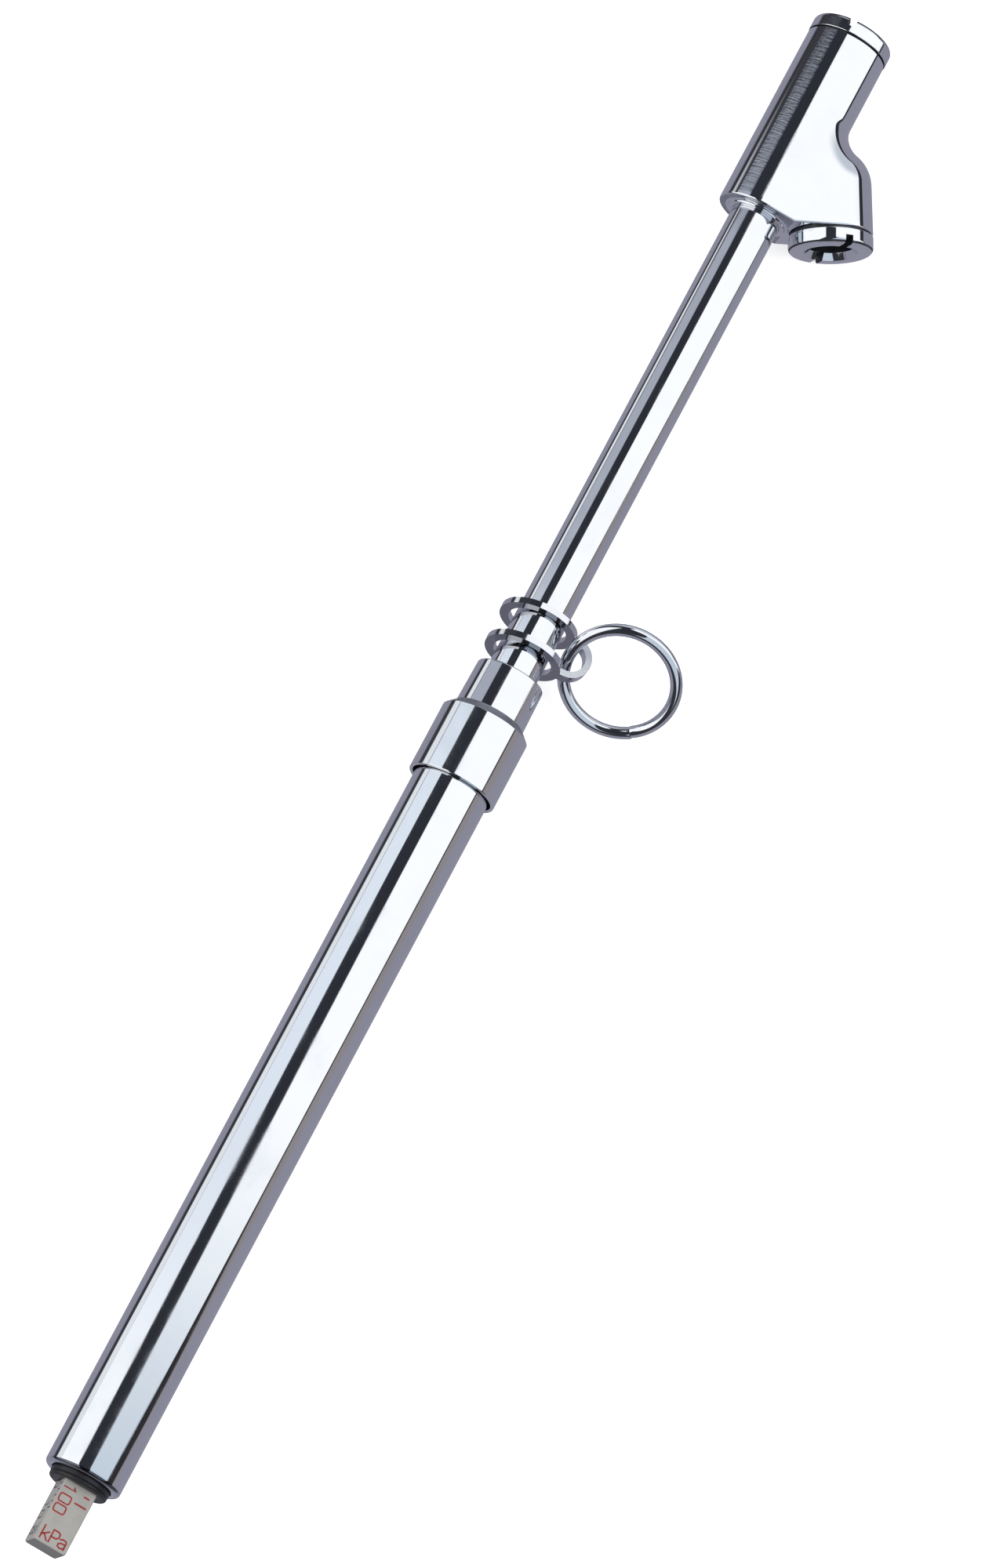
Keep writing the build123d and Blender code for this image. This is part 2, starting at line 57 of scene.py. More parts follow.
class Nodes:
    """Short calls for building a node tree."""

    def __init__(self, tree):
        self.tree = tree
        tree.nodes.clear()

    def add(self, kind, **values):
        node = self.tree.nodes.new(kind)
        for key, value in values.items():
            setattr(node, key, value)
        return node

    def link(self, source, target):
        self.tree.links.new(source, target)

    def put(self, socket, value):
        if isinstance(value, bpy.types.NodeSocket):
            self.link(value, socket)
        elif value is not None:
            socket.default_value = value

    def math(self, operation, a, b=None):
        node = self.add("ShaderNodeMath", operation=operation)
        self.put(node.inputs[0], a)
        self.put(node.inputs[1], b)
        return node.outputs[0]

    def step(self, value, low, high, a=0.0, b=1.0):
        """Smooth step from a to b as value goes from low to high."""
        node = self.add("ShaderNodeMapRange", interpolation_type="SMOOTHSTEP")
        self.put(node.inputs["Value"], value)
        self.put(node.inputs["From Min"], low)
        self.put(node.inputs["From Max"], high)
        self.put(node.inputs["To Min"], a)
        self.put(node.inputs["To Max"], b)
        return node.outputs["Result"]

    def mix(self, share, a, b):
        """Colour a where share is 0, colour b where it is 1."""
        node = self.add("ShaderNodeMix", data_type="RGBA")
        self.put(node.inputs["Factor"], share)
        self.put(node.inputs["A"], (*a, 1.0) if isinstance(a, tuple) else a)
        self.put(node.inputs["B"], (*b, 1.0) if isinstance(b, tuple) else b)
        return node.outputs["Result"]

    def noise(self, vector, scale, detail, roughness):
        node = self.add("ShaderNodeTexNoise")
        self.put(node.inputs["Vector"], vector)
        self.put(node.inputs["Scale"], scale)
        self.put(node.inputs["Detail"], detail)
        self.put(node.inputs["Roughness"], roughness)
        return node.outputs["Fac"]

    def place(self, scale=(1, 1, 1), rotation=(0.0, 0.0, 0.0)):
        """Object coordinates in metres, turned and scaled along each axis."""
        source = self.add("ShaderNodeTexCoord").outputs["Object"]
        node = self.add("ShaderNodeMapping")
        node.inputs["Scale"].default_value = scale
        node.inputs["Rotation"].default_value = rotation
        self.link(source, node.inputs["Vector"])
        return node.outputs["Vector"]

    def parts(self, vector):
        node = self.add("ShaderNodeSeparateXYZ")
        self.link(vector, node.inputs[0])
        return node.outputs["X"], node.outputs["Y"], node.outputs["Z"]

    def bump(self, height, distance, normal=None):
        node = self.add("ShaderNodeBump")
        node.inputs["Strength"].default_value = 1.0
        node.inputs["Distance"].default_value = distance
        self.link(height, node.inputs["Height"])
        if normal is not None:
            self.link(normal, node.inputs["Normal"])
        return node.outputs["Normal"]


def new_material(name):
    """A material and the calls that build its node tree."""
    material = bpy.data.materials.new(name)
    material.use_nodes = True
    return material, Nodes(material.node_tree)


def surface(nodes, **inputs):
    """A principled shader wired to the output."""
    shader = nodes.add("ShaderNodeBsdfPrincipled")
    output = nodes.add("ShaderNodeOutputMaterial")
    nodes.link(shader.outputs["BSDF"], output.inputs["Surface"])
    for key, value in inputs.items():
        nodes.put(shader.inputs[key.replace("_", " ")], value)


# Materials

CHROME_TINT = (0.80, 0.81, 0.835)
WIRE_TINT = (0.78, 0.79, 0.82)
STRIP_TINT = (0.76, 0.77, 0.80)
# painted shade for the strip's faces turned along X
SIDE_SHADE_TINT = (0.33, 0.33, 0.36)
# the rolled lip's plate, and the painted shade on its top
LIP_TINT, LIP_SHADE_TINT = (0.74, 0.75, 0.78), (0.12, 0.12, 0.14)
EVEN = (300, 300, 300)  # marks that run no particular way


def scaled(tint, share):
    return tuple(share * c for c in tint)


def chrome(name, hair=(260, 2600, 2600), hair_height=0.3e-6, rough=0.04, wave=4e-6, tint=CHROME_TINT):
    """Chrome plate: mirror bright, with faint smudges, hairline marks and a slight waviness."""
    material, n = new_material(name)
    smudge = n.noise(n.place(), 95.0, 4.0, 0.6)
    line = n.noise(n.place(hair), 1.0, 2.0, 0.6)
    dull = n.step(smudge, 0.42, 0.74, rough, rough + 0.05)
    roughness = n.math("ADD", dull, n.step(line, 0.60, 0.78, 0.0, 0.035))
    colour = n.mix(n.step(smudge, 0.45, 0.80), tint, scaled(tint, 0.95))
    normal = n.bump(n.noise(n.place(), 60.0, 1.0, 0.4), wave)
    normal = n.bump(line, hair_height, normal)
    surface(n, Base_Color=colour, Metallic=1.0, Roughness=roughness, Normal=normal)
    return material


def plain_metal(name, tint, rough, hair=(400, 400, 400)):
    """Metal without plate, with fine tool marks and small dull patches."""
    material, n = new_material(name)
    patch = n.noise(n.place(), 420.0, 5.0, 0.6)
    line = n.noise(n.place(hair), 1.0, 4.0, 0.6)
    colour = n.mix(n.step(patch, 0.40, 0.75), tint, scaled(tint, 0.70))
    roughness = n.step(patch, 0.35, 0.75, rough, rough + 0.18)
    surface(n, Base_Color=colour, Metallic=1.0, Roughness=roughness, Normal=n.bump(line, 2e-6))
    return material


def rubber(name, tint, rough):
    """Soft rubber or dull black plastic with a fine grain."""
    material, n = new_material(name)
    grain = n.noise(n.place(), 2600.0, 4.0, 0.6)
    worn = n.noise(n.place(), 260.0, 3.0, 0.5)
    colour = n.mix(n.step(worn, 0.45, 0.75), tint, scaled(tint, 1.6))
    roughness = n.step(worn, 0.35, 0.7, rough, rough + 0.12)
    surface(n, Base_Color=colour, Roughness=roughness, Normal=n.bump(grain, 8e-6))
    return material


def plastic(name, tint):
    """Off-white plastic bar: fine drawn lines along it, faint stains, and painted shade on its end faces.
    """
    material, n = new_material(name)
    stain = n.noise(n.place(), 300.0, 4.0, 0.6)
    drawn = n.noise(n.place((120, 5000, 5000)), 1.0, 3.0, 0.6)
    speck = n.noise(n.place(), 1500.0, 2.0, 0.6)
    colour = n.mix(n.step(stain, 0.42, 0.75), tint, scaled(tint, 0.90))
    colour = n.mix(n.step(speck, 0.70, 0.78, 0.0, 0.5), colour, scaled(tint, 0.55))
    # painted shade: faces turned along X, the bar's ends, are darkened
    across = n.parts(n.add("ShaderNodeTexCoord").outputs["Normal"])[0]
    end_shade = n.step(n.math("ABSOLUTE", across), 0.5, 0.9, 0.0, 0.75)
    colour = n.mix(end_shade, colour, scaled(tint, 0.30))
    roughness = n.step(stain, 0.3, 0.7, 0.36, 0.46)
    surface(n, Base_Color=colour, Roughness=roughness, Normal=n.bump(drawn, 3e-6))
    return material


def ink(name, tint):
    """Printed ink, a little uneven."""
    material, n = new_material(name)
    thin = n.noise(n.place(), 3000.0, 3.0, 0.6)
    faded = tuple(min(1.0, 1.5 * c + 0.03) for c in tint)
    colour = n.mix(n.step(thin, 0.45, 0.75), tint, faded)
    surface(n, Base_Color=colour, Roughness=n.step(thin, 0.3, 0.7, 0.45, 0.6), Normal=n.bump(thin, 2e-6))
    return material


def cast_chrome(name):
    """Plate over a buffed casting, whose marks break up the reflections on its rounded side."""
    material, n = new_material(name)
    smudge = n.noise(n.place(), 110.0, 4.0, 0.6)
    buff = n.noise(n.place((2600, 420, 420)), 1.0, 4.0, 0.65)
    # the marks are coarse on the +Y side of the casting, and fine elsewhere
    side = n.step(n.parts(n.place())[1], 0.0022, 0.0038)
    coarse = n.math("ADD", n.math("MULTIPLY", side, 6.0), 0.3)
    dull = n.step(smudge, 0.42, 0.74, 0.035, 0.075)
    roughness = n.math("ADD", dull, n.step(buff, 0.58, 0.74, 0.0, 0.05))
    colour = n.mix(n.step(smudge, 0.45, 0.80), CHROME_TINT, scaled(CHROME_TINT, 0.95))
    normal = n.bump(n.noise(n.place(), 60.0, 1.0, 0.4), 4e-6)
    normal = n.bump(n.math("MULTIPLY", buff, coarse), 1.1e-6, normal)
    surface(n, Base_Color=colour, Metallic=1.0, Roughness=roughness, Normal=normal)
    return material


def rolled_lip(name):
    """Plate on the tube's rolled-in end, darkened on top with painted shade."""
    material, n = new_material(name)
    up = n.parts(n.add("ShaderNodeTexCoord").outputs["Normal"])[2]
    mark = n.noise(n.place(), 700.0, 3.0, 0.6)
    # painted shade: faces that turn up take the dark tint
    colour = n.mix(n.step(up, 0.25, 0.55), LIP_TINT, LIP_SHADE_TINT)
    roughness = n.step(mark, 0.4, 0.7, 0.06, 0.12)
    surface(n, Base_Color=colour, Metallic=1.0, Roughness=roughness, Normal=n.bump(mark, 2e-6))
    return material


def strip_chrome(name):
    """Plated strip: bright faces, painted shade on the faces turned along X, and scored sheared edges
    round the fold.
    """
    material, n = new_material(name)
    across, _, facing = n.parts(n.add("ShaderNodeTexCoord").outputs["Normal"])
    # painted shade: faces turned along X are darkened
    shaded_sides = n.step(n.math("ABSOLUTE", across), 0.70, 0.92)
    y = n.parts(n.place())[1]
    fold = n.step(y, -0.0070, -0.0066, 1.0, 0.0)
    sheared = n.math("MULTIPLY", n.step(facing, 0.80, 0.93), fold)
    score = n.noise(n.place((1600, 4200, 1600), (0, 0, 0.5)), 1.0, 5.0, 0.7)
    smudge = n.noise(n.place(), 140.0, 4.0, 0.6)
    dull = n.step(smudge, 0.4, 0.75, 0.05, 0.12)
    roughness = n.math("ADD", dull, n.math("MULTIPLY", sheared, 0.22))
    colour = n.mix(n.step(smudge, 0.45, 0.8), STRIP_TINT, scaled(STRIP_TINT, 0.9))
    colour = n.mix(shaded_sides, colour, SIDE_SHADE_TINT)
    depth = n.math("MULTIPLY", score, n.math("ADD", n.math("MULTIPLY", sheared, 60.0), 1.0))
    surface(n, Base_Color=colour, Metallic=1.0, Roughness=roughness, Normal=n.bump(depth, 1.4e-6))
    return material


CAST = cast_chrome("cast_chrome")
CAP = chrome("cap_chrome", EVEN, rough=0.05)
TUBE = chrome("tube_chrome")
TURNED = chrome("turned_chrome", (5200, 60, 60), 0.8e-6, 0.05, 5e-6)
STRIP = strip_chrome("strip_chrome")
WIRE = chrome("wire_chrome", EVEN, rough=0.05, wave=3e-6, tint=WIRE_TINT)
LIP = rolled_lip("rolled_lip")
# painted shade: near-black metal for recesses, slot sides and cavities, where shade falls
RECESS_SHADE = plain_metal("painted_recess_shade", (0.10, 0.10, 0.11), 0.45)
# rougher metal for the head's underside, its darker violet tint a painted reflection
ROUGH_SHADED_END = plain_metal("rough_shaded_end", (0.46, 0.46, 0.52), 0.24)
# rougher metal for the collar's chamfer, its darker violet-grey tint a painted reflection
ROUGH_SHADED_BEVEL = plain_metal("rough_shaded_bevel", (0.42, 0.42, 0.47), 0.36)
BRASS = plain_metal("turned_brass", (0.62, 0.43, 0.19), 0.26, (300, 3000, 300))
STEEL = plain_metal("bright_steel", (0.55, 0.55, 0.56), 0.24)
SPRING = plain_metal("spring_wire", (0.50, 0.50, 0.52), 0.22, (900, 900, 900))
WASHER = rubber("washer_rubber", (0.022, 0.022, 0.024), 0.55)
BUSHING = rubber("black_bushing", (0.009, 0.009, 0.012), 0.34)
BAR = plastic("bar_plastic", (0.345, 0.333, 0.315))
RED = ink("red_ink", (0.25, 0.022, 0.018))
BLACK = ink("black_ink", (0.018, 0.018, 0.024))

# CAD nodes that the scene keeps, and what they are made of
CARRIED = {
    "straight_chuck_washer": WASHER, "angled_chuck_washer": WASHER,
    "straight_deflator_pin": BRASS, "angled_deflator_pin": BRASS,
    "shuttle_seat": BRASS, "shuttle_ball": STEEL,
    "collar_gasket": WASHER, "piston_cup": WASHER, "piston_body": BRASS,
    "cup_washer": BRASS, "piston_screw": STEEL, "spring_seat_washer": STEEL,
    "hanger_clip": STRIP,
}
for name, material in CARRIED.items():
    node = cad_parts[name]
    node.data.materials.clear()
    node.data.materials.append(material)


# Mesh helpers, in millimetres


def level(obj):
    """Let the large faces set the shading, so that flats and long tubes stay true."""
    normals = obj.modifiers.new("normals", "WEIGHTED_NORMAL")
    normals.weight = 100
    normals.keep_sharp = True


def piece(name, verts, faces, material, slot, node=None, body="root", sharp=35.0):
    """A mesh object from millimetre points, smooth but for its sharp edges."""
    mesh = bpy.data.meshes.new(name)
    mesh.from_pydata([tuple(MM * float(c) for c in v) for v in verts], [], faces)
    obj = bpy.data.objects.new(name, mesh)
    scene.collection.objects.link(obj)
    work = bmesh.new()
    work.from_mesh(mesh)
    bmesh.ops.remove_doubles(work, verts=work.verts, dist=1e-7)
    bmesh.ops.recalc_face_normals(work, faces=work.faces)
    work.to_mesh(mesh)
    work.free()
    mesh.materials.append(material)
    mesh.shade_smooth()
    mesh.set_sharp_from_angle(angle=math.radians(sharp))
    level(obj)
    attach(obj, body)
    if node:
        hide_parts(node)
    return obj


def rounded(corners, steps=7):
    """Points of a closed (x, r) outline whose corners (x, r, fillet) are rounded."""
    points = []
    count = len(corners)
    for i, (x, r, fillet) in enumerate(corners):
        here = np.array((x, r), float)
        if fillet <= 0:
            points.append(tuple(here))
            continue
        back = np.array(corners[i - 1][:2], float) - here
        on = np.array(corners[(i + 1) % count][:2], float) - here
        back /= np.linalg.norm(back)
        on /= np.linalg.norm(on)
        half = math.acos(float(np.clip(back @ on, -1, 1))) / 2
        middle = (back + on) / np.linalg.norm(back + on)
        centre = here + middle * fillet / math.sin(half)
        first = here + back * fillet / math.tan(half) - centre
        last = here + on * fillet / math.tan(half) - centre
        start = math.atan2(first[1], first[0])
        sweep = (math.atan2(last[1], last[0]) - start + math.pi) % (2 * math.pi) - math.pi
        for k in range(steps + 1):
            turn = start + sweep * k / steps
            points.append((centre[0] + fillet * math.cos(turn), centre[1] + fillet * math.sin(turn)))
    return points


def revolved(outline, segments=256):
    """A closed (x, r) outline turned about the X axis."""
    count = len(outline)
    verts, faces = [], []
    for k in range(segments):
        turn = 2 * math.pi * k / segments
        verts += [(x, r * math.cos(turn), r * math.sin(turn)) for x, r in outline]
        for i in range(count):
            j, on = (i + 1) % count, ((k + 1) % segments) * count
            faces.append((k * count + i, k * count + j, on + j, on + i))
    return verts, faces


def bake(obj):
    """Apply the object's modifiers."""
    evaluated = obj.evaluated_get(bpy.context.evaluated_depsgraph_get())
    mesh = bpy.data.meshes.new_from_object(evaluated)
    obj.modifiers.clear()
    obj.data = mesh
    level(obj)


def cut(obj, low, high, turn):
    """Take a box away; its corners are in millimetres, in a frame placed by turn."""
    mesh = bpy.data.meshes.new("cutter")
    tool = bpy.data.objects.new("cutter", mesh)
    box = bmesh.new()
    bmesh.ops.create_cube(box, size=1.0)
    for vert in box.verts:
        vert.co = Vector([low[i] if vert.co[i] < 0 else high[i] for i in range(3)]) * MM
    box.to_mesh(mesh)
    box.free()
    mesh.transform(turn)
    scene.collection.objects.link(tool)
    obj.modifiers.clear()
    modifier = obj.modifiers.new("cut", "BOOLEAN")
    modifier.operation = "DIFFERENCE"
    modifier.solver = "EXACT"
    modifier.object = tool
    bake(obj)
    bpy.data.objects.remove(tool)


def paint(obj, material, chosen):
    """Give a further material to the faces whose centre, as (x, radius), is chosen."""
    obj.data.materials.append(material)
    index = len(obj.data.materials) - 1
    for face in obj.data.polygons:
        x, y, z = (c / MM for c in face.center)
        if chosen(x, math.hypot(y, z)):
            face.material_index = index


def sleeve(rings, sides):
    """Faces round a run of rings with the same number of points, closed at both ends."""
    faces = []
    for k in range(rings - 1):
        for j in range(sides):
            a, b = k * sides + j, k * sides + (j + 1) % sides
            faces.append((a, b, b + sides, a + sides))
    faces.append(tuple(range(sides)))
    faces.append(tuple(range((rings - 1) * sides, rings * sides)))
    return faces


def soften(obj, width, sharp=32.0):
    """Break the edges sharper than the given angle, and shade smooth with weighted normals."""
    obj.data.shade_smooth()
    flat = obj.modifiers.new("flat", "DECIMATE")
    flat.decimate_type = "DISSOLVE"
    flat.angle_limit = math.radians(0.3)
    edge = obj.modifiers.new("edge", "BEVEL")
    edge.width = width * MM
    edge.segments = 3
    edge.limit_method = "ANGLE"
    edge.angle_limit = math.radians(sharp)
    level(obj)


# Turned parts, as closed outlines of (x, radius, fillet)

BARREL_R, BARREL_BORE, BARREL_TOP, BARREL_END = 7.14, 6.64, -150.9, -298.95
ROLL, NOSE_BORE = 0.85, 5.70
COLLAR_R, COLLAR_BORE, COLLAR_TOP, COLLAR_FOOT = 8.298, 6.22, -143.3, -158.1
BEVEL_END, BEVEL_R = -144.94, 6.66
RECESS_END, RECESS_R = -156.1, 7.60
SOCKET_R = 7.16
PLUG_R, PLUG_BORE, PLUG_END = 6.20, 2.40, -149.7
FITTING_TOP, STEM_SOCKET_R = -134.8, 4.64
STEM_R, STEM_BORE, STEM_TOP, STEM_END = 4.62, 3.62, -30.2, -141.0
BUSH_R, BUSH_TOP, BUSH_END, SHOULDER_R = 6.62, -290.5, -300.65, 5.15
BAR_BORE, BAR_HOLE = 2.0, 3.255
BAR_TURN = math.radians(6.0)

barrel_outline = rounded([
    (BARREL_END, NOSE_BORE, 0.12), (BARREL_END, BARREL_R, ROLL), (BARREL_TOP, BARREL_R, 0),
    (BARREL_TOP, BARREL_BORE, 0), (-298.0, BARREL_BORE, 0.4), (-298.4, NOSE_BORE, 0),
])
barrel = piece("barrel", *revolved(barrel_outline), TUBE, "tube_chrome", "barrel_tube")
# the rolled lip, darkened on top with painted shade
paint(barrel, LIP, lambda x, r: x < BARREL_END + 0.73 and r > NOSE_BORE + 0.4)

collar_outline = rounded([
    (COLLAR_TOP, COLLAR_BORE, 0), (COLLAR_TOP, BEVEL_R, 0), (BEVEL_END, COLLAR_R, 0.10),
    (COLLAR_FOOT, COLLAR_R, 0.22), (COLLAR_FOOT, RECESS_R + 0.02, 0.22), (RECESS_END, RECESS_R, 0),
    (RECESS_END, SOCKET_R, 0), (PLUG_END, SOCKET_R, 0), (PLUG_END, COLLAR_BORE, 0),
])
collar = piece("collar", *revolved(collar_outline), TURNED, "fitting_chrome", "barrel_collar")
# painted shade in the recess at the collar's foot
paint(collar, RECESS_SHADE, lambda x, r: COLLAR_FOOT + 0.15 < x < PLUG_END - 0.3 and r < RECESS_R + 0.1)
# the collar's chamfer: rougher, and darkened with a painted reflection
paint(collar, ROUGH_SHADED_BEVEL, lambda x, r: BEVEL_END + 0.02 < x < COLLAR_TOP - 0.02 and r > BEVEL_R + 0.04)

fitting_outline = rounded([
    (FITTING_TOP, STEM_SOCKET_R, 0.1), (FITTING_TOP, 6.42, 0.32), (COLLAR_TOP, 6.60, 0),
    (COLLAR_TOP, PLUG_R, 0), (PLUG_END, PLUG_R, 0), (PLUG_END, PLUG_BORE, 0),
    (STEM_END, PLUG_BORE, 0), (STEM_END, STEM_SOCKET_R, 0),
])
piece("fitting", *revolved(fitting_outline), TURNED, "fitting_chrome", "stem_fitting")

stem_outline = [(STEM_TOP, STEM_R), (STEM_END, STEM_R), (STEM_END, STEM_BORE), (STEM_TOP, STEM_BORE)]
piece("stem", *revolved(stem_outline), TUBE, "tube_chrome", "stem_tube")

bush_outline = rounded([
    (BUSH_TOP, BAR_BORE, 0), (BUSH_TOP, BUSH_R, 0.2), (-296.6, BUSH_R, 0.3),
    (-297.6, SHOULDER_R, 0), (-298.9, SHOULDER_R, 0),
    (-298.9, 5.55, 0.15), (-299.75, 5.55, 0.12), (-299.9, 5.30, 0.05), (-300.1, 5.50, 0.1),
    (BUSH_END, 5.42, 0.5), (BUSH_END, BAR_BORE, 0),
])
bushing = piece("bushing", *revolved(bush_outline), BUSHING, "black_bushing", "end_bushing")
low, high = (BUSH_END - 5, -BAR_HOLE, -BAR_HOLE), (BUSH_TOP + 5, BAR_HOLE, BAR_HOLE)
cut(bushing, low, high, Matrix.Rotation(BAR_TURN, 4, "X"))
bushing.data.set_sharp_from_angle(angle=math.radians(35))

# Slotted caps on the two chucks: local X points out of the chuck

BOSS = math.radians(27.0)
SEAT = np.array((-32.4847, -13.3927, 0.0))
OUT = np.array((-math.cos(BOSS), -math.sin(BOSS), 0.0))
SIDE = np.array((math.sin(BOSS), -math.cos(BOSS), 0.0))
ANGLED = Matrix.Translation(Vector(SEAT) * MM) @ Matrix.Rotation(math.pi + BOSS, 4, "Z")
CAP_R, CAP_TOP, CHUCK_R, SEAT_R = 7.70, 3.3, 4.20, 6.12
GROOVE, GROOVE_R = 0.42, 7.25
SLOT_FLOOR, SLOT_HALF = 1.7, 0.725
# each cap with the turn of its slot, in degrees, and its place
CAP_SLOTS = (("straight_cap", -15.0, Matrix.Identity(4)), ("angled_cap", -12.0, ANGLED))

# two further points keep the cap's straight side true between its rounded edges
cap_outline = rounded([
    (-4.2, CHUCK_R, 0), (-4.2, 6.10, 0), (0, 6.10, 0), (0, GROOVE_R, 0), (GROOVE, GROOVE_R, 0),
    (GROOVE, CAP_R, 0.12), (0.57, CAP_R, 0), (2.37, CAP_R, 0), (CAP_TOP, CAP_R, 0.9),
    (CAP_TOP, 4.95, 0.12), (2.0, CHUCK_R, 0.1),
], 8)


def in_shade(x, r):
    """The groove behind the cap, and the sides of its slot, which are painted dark as shade."""
    slot = SLOT_FLOOR - 0.02 < x < CAP_TOP - 0.3 and r > 5.0
    return r < CAP_R - 0.1 and (x < GROOVE + 0.01 or slot)


for name, turn, place in CAP_SLOTS:
    cap = piece(name, *revolved(cap_outline), CAP, "turned_chrome", name.replace("cap", "chuck_cap"))
    low, high = (SLOT_FLOOR, -SLOT_HALF, -12), (CAP_TOP + 1, SLOT_HALF, 12)
    cut(cap, low, high, Matrix.Rotation(math.radians(turn), 4, "X"))
    # painted shade in the groove behind the cap and on the sides of its slot
    paint(cap, RECESS_SHADE, in_shade)
    cap.data.transform(place)
    cap.data.set_sharp_from_angle(angle=math.radians(32))

# Head casting: the web between the chucks, rounded off all round by the chucks' own radius

HALF = 7.58  # radius of the straight cylinder, and half the web's thickness
EDGE = 0.35
STRAIGHT = -12.6  # where the straight cylinder's side ends
FOOT = -36.4
KNEE = np.array((FOOT, -5.71, 0.0))
BOSS_LENGTH = 9.0
ROOT = SEAT - BOSS_LENGTH * OUT
BEND = 11.3  # of the hollow between the two chucks
SLIM, FLARE = 0.20, 0.30  # the boss is slimmer at its root, and widens to its seat
ROWS = 48


def head_side():
    """Stations along the rounded side: centre, outward direction and radius."""
    way = np.array((0.0, -1.0, 0.0))
    stations = [(np.array((x, 0.0, 0.0)), way, HALF) for x in np.linspace(0, STRAIGHT, 14)]
    turned = math.acos(1 + ROOT[1] / BEND)
    centre = np.array((ROOT[0] + BEND * math.sin(turned), -BEND, 0.0))
    for turn in np.linspace(0, turned, 40):
        way = np.array((math.sin(turn), -math.cos(turn), 0.0))
        stations.append((centre - BEND * way, way, HALF - SLIM * (turn / turned) ** 2))
    begin = math.atan2(-math.cos(turned), math.sin(turned))
    end = math.atan2(SIDE[1], SIDE[0])
    for turn in np.linspace(begin, end, 26)[1:]:
        stations.append((ROOT, np.array((math.cos(turn), math.sin(turn), 0.0)), HALF - SLIM))
    for along in np.linspace(0, BOSS_LENGTH - EDGE, 12)[1:]:
        stations.append((ROOT + along * OUT, SIDE, HALF - SLIM + FLARE * along / BOSS_LENGTH))
    return stations


def head_mesh():
    """The casting's skin, open at its flats; also the last row of points, and the knee's places in it."""
    verts, faces = [], []
    arc = np.linspace(math.pi / 2, -math.pi / 2, ROWS + 1)

    def add(point):
        verts.append(tuple(point))
        return len(verts) - 1

    def column(centre, way, radius):
        return [add(centre + way * radius * math.cos(a) + Z_AXIS * (HALF * math.sin(a))) for a in arc]

    def strip(a, b):
        for i in range(len(a) - 1):
            faces.append((a[i], a[i + 1], b[i + 1], b[i]))

    left = [column(np.array((x, 0.0, 0.0)), Y_AXIS, HALF) for x in np.linspace(0, FOOT + EDGE, 40)]
    right = [column(*station) for station in head_side()]
    for run in (left, right):
        for a, b in zip(run, run[1:]):
            strip(a, b)
    # rounded edge round the underside and the slanted seat, then their flats
    wall_a, wall_b = np.array((-1.0, 0.0, 0.0)), OUT
    shared = (wall_a + wall_b) / np.linalg.norm(wall_a + wall_b) / math.cos(BOSS / 2)
    loop = []
    for i, a in enumerate(arc[::-1]):
        inward = -(Y_AXIS * math.cos(a) + Z_AXIS * math.sin(a))
        corner = np.array((FOOT, 0, 0)) - HALF * inward
        loop.append((corner, inward, wall_a, left[-1][ROWS - i]))
    steps = [(np.array((FOOT, y, 0.0)), wall_a) for y in (-2.0, -4.0)]
    steps.append((KNEE, shared))
    steps += [(KNEE + (SEAT - KNEE) * share, wall_b) for share in (0.33, 0.66)]
    for point, wall in steps:
        loop.append((point + HALF * Z_AXIS, -Z_AXIS, wall, None))
    knee_top = len(loop) - 3
    radius = HALF - SLIM + FLARE
    for i, a in enumerate(arc):
        inward = -(SIDE * math.cos(a) + Z_AXIS * math.sin(a))
        spot = SEAT + SIDE * radius * math.cos(a) + Z_AXIS * (HALF * math.sin(a))
        loop.append((spot, inward, wall_b, right[-1][i]))
    for point, wall in steps[::-1]:
        loop.append((point - HALF * Z_AXIS, Z_AXIS, wall, None))
    knee_low = len(loop) - 3
    rows = []
    for k in range(6):
        turn = math.pi / 2 * k / 5
        row = []
        for corner, inward, wall, known in loop:
            if k == 0 and known is not None:
                row.append(known)
                continue
            start = corner - wall * EDGE + inward * EDGE
            row.append(add(start - inward * EDGE * math.cos(turn) + wall * EDGE * math.sin(turn)))
        rows.append(row)
    for a, b in zip(rows, rows[1:]):
        strip(a + a[:1], b + b[:1])
    # the two flats of the web, upper and lower
    upper, lower = ROWS + 1, 2 * (ROWS + 1) + len(steps)
    for end, between in ((0, rows[0][upper:upper + len(steps)]), (ROWS, rows[0][lower:][::-1])):
        outline = [c[end] for c in left] + between + [c[end] for c in right[::-1]]
        seen, ring = set(), []
        for index in outline:
            key = tuple(round(c, 5) for c in verts[index])
            if key not in seen:
                seen.add(key)
                ring.append(index)
        faces.append(tuple(ring))
    last = rows[-1]
    return verts, faces, last, knee_top, knee_low


def circle(centre, u, v, radius, count=96):
    """Points round a circle in the plane of u and v."""
    return [
        centre + radius * (u * math.cos(2 * math.pi * k / count) + v * math.sin(2 * math.pi * k / count))
        for k in range(count)
    ]


def wall_with_hole(outline, hole):
    """Triangles between a flat outline and a hole in it."""
    work = bmesh.new()
    edges = []
    for ring in (outline, hole):
        points = [work.verts.new(p) for p in ring]
        edges += [work.edges.new((points[i - 1], points[i])) for i in range(len(points))]
    bmesh.ops.triangle_fill(work, edges=edges, use_beauty=True)
    work.verts.index_update()
    found = [v.co.copy() for v in work.verts], [[v.index for v in f.verts] for f in work.faces]
    work.free()
    return found


